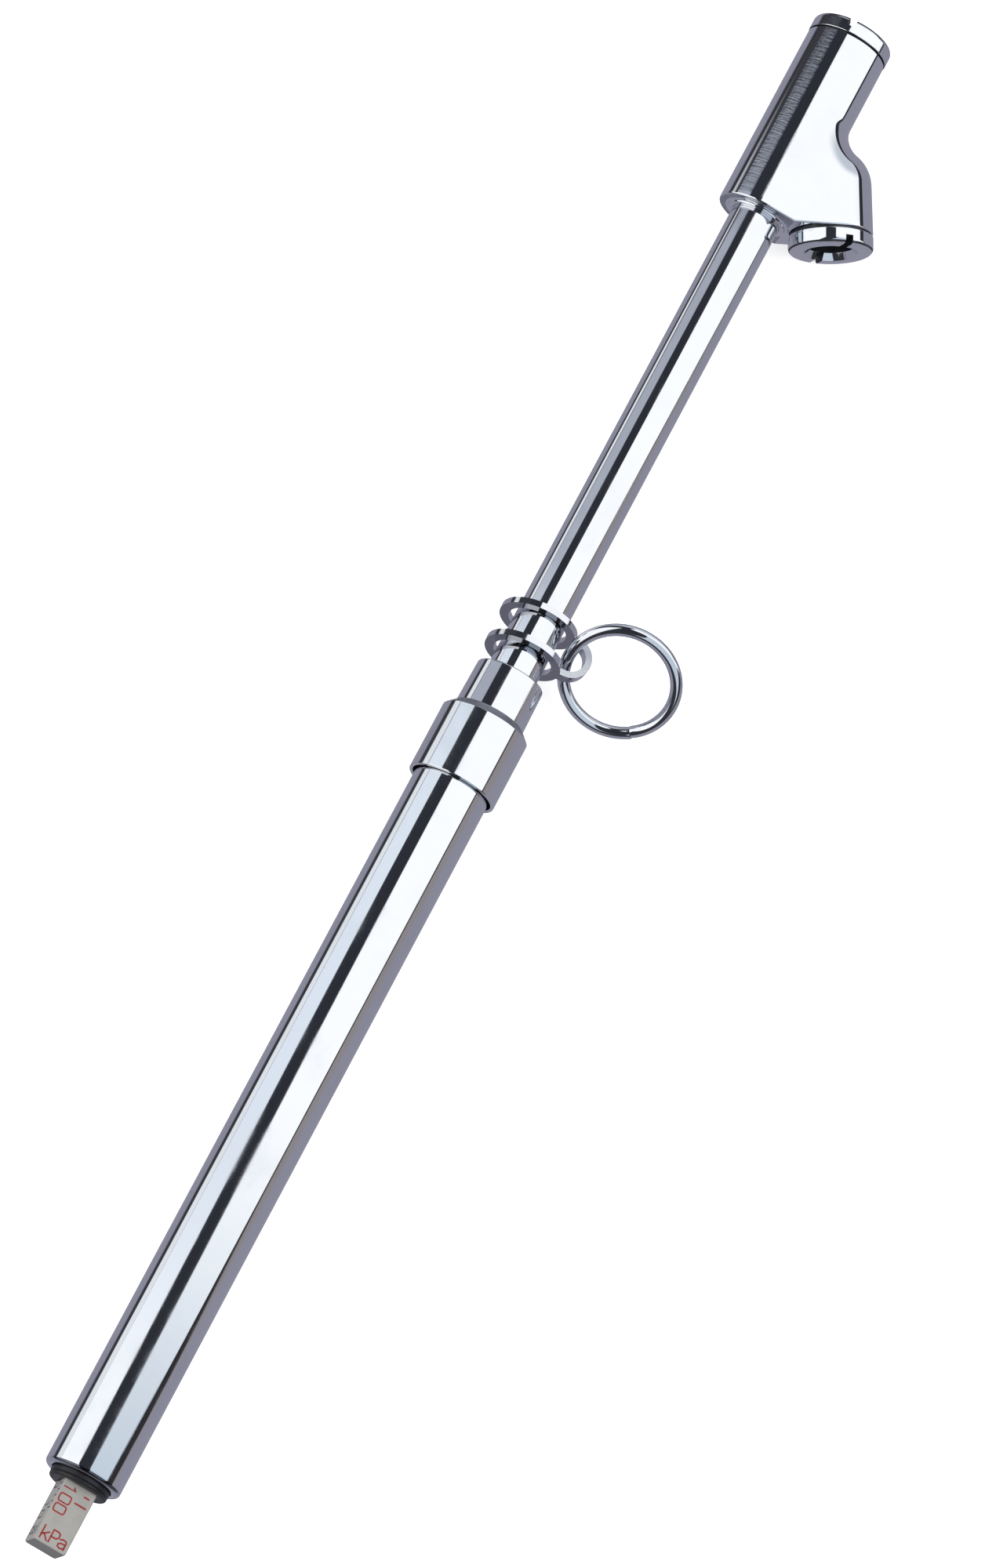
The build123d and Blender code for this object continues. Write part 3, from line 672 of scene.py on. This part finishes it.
verts, faces, last, knee_top, knee_low = head_mesh()
underside = [verts[i] for i in last[:knee_top + 1]] + [verts[i] for i in last[knee_low:]]
slanted = [verts[i] for i in last[knee_top:knee_low + 1]]
around = np.linspace(0, 2 * math.pi, 2 * ROWS + 1)[:-1]
upper_end = [(0.0, HALF * math.cos(t), HALF * math.sin(t)) for t in around]
for outline, centre, side, radius in (
    (underside, np.array((FOOT, 0.0, 0.0)), Y_AXIS, STEM_SOCKET_R),
    (slanted, SEAT, SIDE, SEAT_R),
    (upper_end, np.zeros(3), Y_AXIS, SEAT_R),
):
    more_verts, more_faces = wall_with_hole(outline, circle(centre, side, Z_AXIS, radius))
    shift = len(verts)
    verts += [tuple(v) for v in more_verts]
    faces += [tuple(i + shift for i in face) for face in more_faces]
head = piece("head", verts, faces, CAST, "cast_chrome", "head_casting", sharp=40.0)
# the head's flat underside: rougher, and darkened with a painted reflection
paint(head, ROUGH_SHADED_END, lambda x, r: abs(x - FOOT) < 0.02)

# the two cavities behind the caps, near black as painted shade, and the raised ring round the stem
CAVITY_END, PASSAGE_R, SKIN = -8.3, 2.2, 0.2
cavity = [
    (0.0, SEAT_R), (CAVITY_END, SEAT_R), (CAVITY_END, PASSAGE_R),
    (CAVITY_END - SKIN, PASSAGE_R), (CAVITY_END - SKIN, 6.3), (0.0, 6.3),
]
for name, place in (("straight_cavity", Matrix.Identity(4)), ("angled_cavity", ANGLED)):
    inner = piece(name, *revolved(cavity, 96), RECESS_SHADE, "cast_chrome")
    inner.data.transform(place)
stem_ring_outline = rounded([
    (-36.2, STEM_SOCKET_R, 0), (-36.2, 6.3, 0), (-36.42, 6.25, 0), (-36.5, 5.7, 0.25),
    (-36.9, 5.55, 0.22), (-36.9, STEM_SOCKET_R, 0.12),
])
piece("stem_ring", *revolved(stem_ring_outline), CAST, "cast_chrome")

# Key ring: round wire bent to a circle, its two ends butted with a small step

RING_CENTRE = np.array((-125.7561, -17.4017, 0.9939))
RING_OUT = np.array((0.0, -1.0, 0.0))
RING_ALONG = np.array((math.cos(math.radians(45)), 0.0, math.sin(math.radians(45))))
RING_NORMAL = np.cross(RING_OUT, RING_ALONG)
RING_WIRE, RING_MEAN, RING_GAP = 1.13, 10.12, 0.06
JOINT = math.radians(-50.0)
ASTRAY, SETTLES = 0.22, 30  # how far the ends stand out of line, and how soon they come back


def wire_ring():
    """The wire, whose two ends have blunt rims."""
    verts = []
    sides, steps, rim = 48, 260, 0.0009
    thinner = {0: 0.14, 1: 0.03, steps - 1: 0.03, steps: 0.14}
    gap = RING_GAP / RING_MEAN
    start = JOINT + gap / 2
    for k in range(steps + 1):
        share = {1: rim, steps - 1: 1 - rim}.get(k, k / steps)
        turn = start + (2 * math.pi - gap) * share
        offset = ASTRAY * (math.exp(-share * SETTLES) - math.exp(-(1 - share) * SETTLES))
        spoke = RING_OUT * math.cos(turn) + RING_ALONG * math.sin(turn)
        centre = RING_CENTRE + spoke * (RING_MEAN - offset * 0.6) + RING_NORMAL * offset * 0.5
        thick = RING_WIRE - thinner.get(k, 0.0)
        for j in range(sides):
            around = 2 * math.pi * j / sides
            verts.append(centre + thick * (spoke * math.cos(around) + RING_NORMAL * math.sin(around)))
    return verts, sleeve(steps + 1, sides)


piece("wire_ring", *wire_ring(), WIRE, "wire_chrome", "key_ring", "ring")

# Hanger clip: the CAD's own strip, with its edges broken

soften(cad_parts["hanger_clip"], 0.12)

# Indicator bar with its printed scales

BAR_V = np.array((0.0, math.cos(BAR_TURN), math.sin(BAR_TURN)))
BAR_W = np.array((0.0, -math.sin(BAR_TURN), math.cos(BAR_TURN)))
BAR_HALF = 3.175
TIP, INNER = -312.6, -173.7
CORNER = 0.38
# distance from the tip, shrinkage and corner radius, in millimetres
WORN = ((0.0, 0.36, 0.34), (0.05, 0.20, CORNER), (0.16, 0.08, CORNER), (0.36, 0.0, CORNER))


def square_bar():
    """A square bar with rounded edges and a worn, rounded tip."""
    steps = 5

    def section(x, shrink, radius):
        half, ring = BAR_HALF - shrink, []
        for quarter in range(4):
            mid = math.pi / 4 + quarter * math.pi / 2
            centre = (half - radius) * np.array((np.sign(math.cos(mid)), np.sign(math.sin(mid))))
            for k in range(steps + 1):
                a = mid - math.pi / 4 + math.pi / 2 * k / steps
                v, w = centre + radius * np.array((math.cos(a), math.sin(a)))
                ring.append(np.array((x, 0, 0)) + BAR_V * v + BAR_W * w)
        return ring

    sections = [(TIP + along, shrink, radius) for along, shrink, radius in WORN]
    sections += [(x, 0.0, CORNER) for x in np.linspace(TIP + 2, INNER, 30)]
    verts = []
    for x, shrink, radius in sections:
        verts += section(x, shrink, radius)
    return verts, sleeve(len(sections), 4 * (steps + 1))


piece("scale_bar", *square_bar(), BAR, "bar_plastic", "indicator_bar", "bar", 40.0)

# strokes of each sign, in hundredths of its height
SIGNS = {
    "0": ["20,0 56,0 67,4 72,14 72,86 67,96 56,100 20,100 9,96 4,86 4,14 9,4 20,0"],
    "1": ["16,82 34,94 38,100 38,0"],
    "2": ["6,80 14,95 36,100 60,95 70,76 62,54 6,0 72,0"],
    "3": ["6,100 68,100 34,60 60,54 72,30 60,6 34,0 6,10"],
    "4": ["56,0 56,100 4,30 74,30"],
    "5": ["68,100 12,100 8,56 40,62 66,50 72,28 58,5 34,0 6,10"],
    "6": ["60,100 30,86 8,50 6,22 20,2 54,2 70,20 68,42 50,56 24,54 7,38"],
    "7": ["6,100 72,100 28,0"],
    "8": ["38,54 12,66 10,88 28,100 50,100 66,88 64,66 38,54 8,38 6,14 24,0 52,0 70,14 68,38 38,54"],
    "9": ["16,0 46,14 68,50 70,78 56,98 22,98 6,80 8,58 26,44 52,46 69,62"],
    "k": ["10,0 10,100", "60,66 10,28", "28,42 66,0"],
    "P": ["10,0 10,100 50,100 68,90 70,62 52,46 10,46"],
    "a": ["12,60 30,68 54,66 64,54 64,0", "64,38 30,38 10,26 12,8 30,0 52,3 64,16"],
    "p": ["10,68 10,-30", "10,56 30,68 54,64 66,46 64,14 48,0 26,0 10,12"],
    "s": ["60,58 44,68 22,66 12,52 24,38 52,30 62,14 46,0 20,0 8,10"],
    "i": ["38,0 38,66", "38,86 38,94"],
}


class Print:
    """Flat strokes laid on one face of the bar."""

    bend_limit = 0.45  # keeps the mitre of a sharp bend short
    end_reach = 0.4  # how far a stroke goes on past its last point, in widths

    def __init__(self, normal):
        self.normal = normal
        self.verts, self.faces = [], []

    def stroke(self, points, width):
        """A ribbon along the points, with mitred bends and square ends."""
        points = [np.asarray(p, float) for p in points]
        closed = np.linalg.norm(points[0] - points[-1]) < 1e-6 and len(points) > 2
        if closed:
            points = points[:-1]
        count = len(points)
        edges = []
        for i, here in enumerate(points):
            before = points[i - 1] if closed or i > 0 else here - (points[1] - here)
            last = not closed and i == count - 1
            after = here + (here - points[i - 1]) if last else points[(i + 1) % count]
            a = (here - before) / np.linalg.norm(here - before)
            b = (after - here) / np.linalg.norm(after - here)
            way = (a + b) / np.linalg.norm(a + b)
            across = np.cross(self.normal, way)
            reach = width / 2 / max(self.bend_limit, abs(float(np.cross(self.normal, a) @ across)))
            if not closed and i in (0, count - 1):
                here = here + (way if i else -way) * width * self.end_reach
            edges.append((here - across * reach, here + across * reach))
        base = len(self.verts)
        for low, high in edges:
            self.verts += [low, high]
        for i in range(count if closed else count - 1):
            j = (i + 1) % count
            self.faces.append((base + 2 * i, base + 2 * i + 1, base + 2 * j + 1, base + 2 * j))

    def text(self, words, start, reading, up, height, pitch, width):
        """Signs from the start on, one pitch apart in the reading direction."""
        for k, sign in enumerate(words):
            corner = start + reading * pitch * k
            for line in SIGNS[sign]:
                spots = [tuple(int(c) / 100 for c in spot.split(",")) for spot in line.split()]
                self.stroke([corner + reading * u * height + up * v * height for u, v in spots], width)


RISE = BAR_HALF + 0.012  # the ink lies just above the bar's faces
red, black = Print(BAR_W), Print(BAR_V)


def on_front(x, v):
    """A place on the face with the red scale."""
    return np.array((x, 0, 0)) + BAR_V * v + BAR_W * RISE


def on_side(x, w):
    """A place on the face with the black scale."""
    return np.array((x, 0, 0)) + BAR_V * RISE + BAR_W * w


# place of the first line, spacing, and count where the lines end, of each scale
KPA_FIRST, KPA_STEP, KPA_STOP = -303.7, 1.74, 51
PSI_FIRST, PSI_STEP, PSI_STOP = -306.3, 1.2, 76
FROM, EVERY = 5, 5


def first_sign(x, number):
    """Where a number starts so that its line points at its middle."""
    return x + 0.98 * len(number) - 0.35


# kPa scale: a line every 20 kPa, numbered every 100 kPa, 8.7 mm apart
red.text("kPa", on_front(-311.85, 2.62), -BAR_V, X_AXIS, height=2.35, pitch=1.72, width=0.30)
for count in range(FROM, KPA_STOP):
    x = KPA_FIRST + (count - FROM) * KPA_STEP
    big = count % EVERY == 0
    red.stroke([on_front(x, -0.33 if big else -1.35), on_front(x, -2.4 if big else -2.15)], 0.34)
    if big:
        number = str(count * 20)
        start = on_front(first_sign(x, number), 2.67)
        red.text(number, start, -X_AXIS, -BAR_V, height=2.15, pitch=1.96, width=0.28)
# psi scale: a line every 2 psi, numbered every 10 psi, 6 mm apart
black.text("psi", on_side(-311.3, -1.9), BAR_W, X_AXIS, height=2.1, pitch=1.5, width=0.24)
for count in range(FROM, PSI_STOP):
    x = PSI_FIRST + (count - FROM) * PSI_STEP
    big = count % EVERY == 0
    black.stroke([on_side(x, 1.2 if big else 1.7), on_side(x, 2.6)], 0.28)
    if big:
        number = str(count * 2)
        start = on_side(first_sign(x, number), -1.9)
        black.text(number, start, -X_AXIS, BAR_W, height=2.1, pitch=1.9, width=0.24)
for name, marks, material in (("bar_marks_red", red, RED), ("bar_marks_black", black, BLACK)):
    piece(name, marks.verts, marks.faces, material, "bar_plastic", None, "bar")

# Range spring: open coils; in the real gauge they shorten with the piston, here they keep one length

SPRING_FOOT, SPRING_TOP = -289.64, -158.86
SPRING_WIRE, SPRING_MEAN, SPRING_TURNS = 0.70, 5.44, 18.0


def coil():
    """The wire wound round the axis, standing between its two ends."""
    verts = []
    wire, mean, turns, sides = SPRING_WIRE, SPRING_MEAN, SPRING_TURNS, 12
    steps = int(turns * 36)
    low, high = SPRING_FOOT + wire, SPRING_TOP - wire
    for k in range(steps + 1):
        turn = 2 * math.pi * turns * k / steps
        along = low + (high - low) * k / steps
        rise = (high - low) / (2 * math.pi * turns)
        centre = np.array((along, mean * math.cos(turn), mean * math.sin(turn)))
        spoke = np.array((0.0, math.cos(turn), math.sin(turn)))
        way = np.array((rise, -mean * math.sin(turn), mean * math.cos(turn)))
        way /= np.linalg.norm(way)
        other = np.cross(way, spoke)
        for j in range(sides):
            a = 2 * math.pi * j / sides
            verts.append(centre + wire * (spoke * math.cos(a) + other * math.sin(a)))
    return verts, sleeve(steps + 1, sides)


spring = piece("spring_coil", *coil(), SPRING, "spring_steel", "range_spring")
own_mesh(spring)

# Floor, in metres

FLOOR_Z = -0.0083
FLOOR_HALF = 6.0
WHITENS = 0.62  # light added so that the camera sees it white
GREY, PALE = (0.30, 0.30, 0.37), (0.90, 0.93, 0.97)


def make_floor():
    """A floor that is white to the camera, and shows polished metal a painted reflection."""
    mesh = bpy.data.meshes.new("floor")
    signs = ((-1, -1), (1, -1), (1, 1), (-1, 1))
    corners = [(a * FLOOR_HALF, b * FLOOR_HALF, FLOOR_Z) for a, b in signs]
    mesh.from_pydata(corners, [], [(0, 1, 2, 3)])
    floor = bpy.data.objects.new("floor", mesh)
    scene.collection.objects.link(floor)
    material, n = new_material("floor_white")
    path = n.add("ShaderNodeLightPath")
    x, y, _ = n.parts(n.add("ShaderNodeTexCoord").outputs["Object"])
    diffuse = n.add("ShaderNodeBsdfDiffuse")
    diffuse.inputs["Color"].default_value = (0.80, 0.80, 0.80, 1)
    lift = n.add("ShaderNodeEmission")
    lift.inputs["Color"].default_value = (1, 1, 1, 1)
    lift.inputs["Strength"].default_value = WHITENS
    white = n.add("ShaderNodeAddShader")
    n.link(diffuse.outputs[0], white.inputs[0])
    n.link(lift.outputs[0], white.inputs[1])
    # painted reflection, what polished metal sees of the floor: grey near the gauge, then a dark line,
    # and further out on its +Y side pale beside the barrel and dark beside the head
    near = n.mix(n.step(y, 0.022, 0.027), GREY, (0.045, 0.045, 0.055))
    pale = n.mix(n.step(x, -0.035, 0.012), PALE, (0.05, 0.05, 0.06))
    far = n.mix(n.step(y, 0.040, 0.047), near, pale)
    painted_reflection = n.add("ShaderNodeEmission")
    n.link(far, painted_reflection.inputs["Color"])
    painted_reflection.inputs["Strength"].default_value = 1.0
    seen = n.add("ShaderNodeMixShader")
    n.link(path.outputs["Is Camera Ray"], seen.inputs[0])
    n.link(diffuse.outputs[0], seen.inputs[1])
    n.link(white.outputs[0], seen.inputs[2])
    glossy = n.add("ShaderNodeMixShader")
    n.link(path.outputs["Is Glossy Ray"], glossy.inputs[0])
    n.link(seen.outputs[0], glossy.inputs[1])
    n.link(painted_reflection.outputs[0], glossy.inputs[2])
    n.link(glossy.outputs[0], n.add("ShaderNodeOutputMaterial").inputs["Surface"])
    mesh.materials.append(material)


make_floor()

# The studio that the metal shows: two soft boxes above, with a dark gap between them

BRIGHT, BLUISH, SOFT = (1.20, 1.22, 1.24), (0.88, 0.96, 1.05), (0.62, 0.72, 0.82)
DIM, FADED = (0.44, 0.47, 0.55), (0.64, 0.69, 0.76)
DARK, UNLIT = (0.030, 0.033, 0.043), (0.045, 0.047, 0.056)
BLACKENED, SHADOW = (0.035, 0.037, 0.045), (0.03, 0.03, 0.035)
BEIGE = (0.31, 0.285, 0.29)
DEGREES = 57.29578  # in a radian


def make_world():
    """Light by direction, seen by polished metal only."""
    world = bpy.data.worlds.new("studio")
    scene.world = world
    world.use_nodes = True
    n = Nodes(world.node_tree)
    x, y, z = n.parts(n.add("ShaderNodeTexCoord").outputs["Generated"])
    # angle round the gauge's axis: 0 overhead, negative towards +Y; and angle along it,
    # about 12 where the barrel's end looks, 17 at the collar and 21 to 22 at the head
    turn = n.math("MULTIPLY", n.math("ARCTAN2", n.math("MULTIPLY", y, -1.0), z), DEGREES)
    lean = n.math("MULTIPLY", n.math("ARCSINE", x), DEGREES)

    def along(low, high, a=0.0, b=1.0):
        return n.step(lean, low, high, a, b)

    left_edge = along(11.5, 17.0, -31.0, -50.0)
    right_edge = along(11.5, 17.0, 4.0, -15.5)
    right_edge = along(20.5, 21.8, right_edge, -22.0)
    left_edge = along(20.4, 21.0, left_edge, -56.0)
    from_left = n.math("SUBTRACT", turn, left_edge)
    from_right = n.math("SUBTRACT", turn, right_edge)
    # the left box dims beyond the barrel, and leaves the head dark
    left_light = n.mix(along(12.2, 14.5), BRIGHT, BLUISH)
    left_light = n.mix(along(17.7, 18.5), left_light, DIM)
    left_light = n.mix(along(20.8, 21.6), left_light, UNLIT)
    shade = n.math("MULTIPLY", n.step(turn, -84.0, -76.0, 1.0, 0.0), along(20.6, 21.2))
    left_light = n.mix(shade, left_light, UNLIT)
    right_light = n.mix(along(12.0, 15.0), SOFT, BRIGHT)
    colour = n.mix(n.step(from_left, -1.0, 1.0), left_light, DARK)
    colour = n.mix(n.step(from_right, -1.0, 1.0), colour, right_light)
    # the right box pales past the head, and ends before the bar
    colour = n.mix(along(36.0, 58.0), colour, FADED)
    colour = n.mix(along(-62.0, -54.0, 1.0, 0.0), colour, BLACKENED)
    # far edge of the right soft box: a dark line, then a beige strip over the barrel
    line = along(17.5, 22.0, 68.5, 84.0)
    line = along(12.2, 13.5, 62.0, line)
    line = along(26.0, 38.0, line, 67.0)
    beyond = n.math("SUBTRACT", turn, line)
    colour = n.mix(n.step(beyond, -0.8, 0.8), colour, SHADOW)
    strip = n.mix(along(19.5, 21.0), BEIGE, GREY)
    width = along(12.6, 14.5, 22.0, 4.0)
    width = along(20.0, 22.0, width, 7.0)
    width = along(24.0, 45.0, width, 17.0)
    colour = n.mix(n.step(n.math("SUBTRACT", beyond, width), -0.8, 0.8), colour, strip)
    # plain light for everything but polished metal, and white to the camera
    path = n.add("ShaderNodeLightPath")
    colour = n.mix(path.outputs["Is Glossy Ray"], (0.75, 0.75, 0.75), colour)
    colour = n.mix(path.outputs["Is Camera Ray"], colour, (1.0, 1.0, 1.0))
    back = n.add("ShaderNodeBackground")
    n.link(colour, back.inputs["Color"])
    n.link(back.outputs[0], n.add("ShaderNodeOutputWorld").inputs["Surface"])


make_world()

AIM = Vector((-0.15, 0, 0))


def lamp(name, place, size, power):
    """A round lamp aimed at the middle of the gauge; metres and watts."""
    data = bpy.data.lights.new(name, "AREA")
    data.shape = "DISK"
    data.size = size
    data.energy = power
    light = bpy.data.objects.new(name, data)
    scene.collection.objects.link(light)
    light.location = place
    light.rotation_euler = (AIM - Vector(place)).to_track_quat("-Z", "Y").to_euler()
    light.visible_glossy = False
    light.visible_camera = False


lamp("key", (-0.3, 0.9, 1.2), 0.9, 9.0)
lamp("fill", (0.1, -1.0, 1.0), 1.2, 5.0)

# Camera, as it was solved from the photograph: its right, down and forward directions, and its place

data = bpy.data.cameras.new("camera")
data.lens = 225.0
data.sensor_width = 36.0
data.clip_start = 0.05
data.clip_end = 60.0
camera = bpy.data.objects.new("camera", data)
scene.collection.objects.link(camera)
right = Vector((0.44970747, -0.86620185, 0.21784754))
down = Vector((-0.84343416, -0.49209635, -0.21554582))
forward = Vector((0.29390817, -0.08680749, -0.95188363))
turned = Matrix((right, -down, -forward)).transposed().to_4x4()
turned.translation = Vector((-0.661065, 0.143786, 1.643479))
camera.matrix_world = turned
scene.camera = camera
scene.view_settings.view_transform = "Standard"
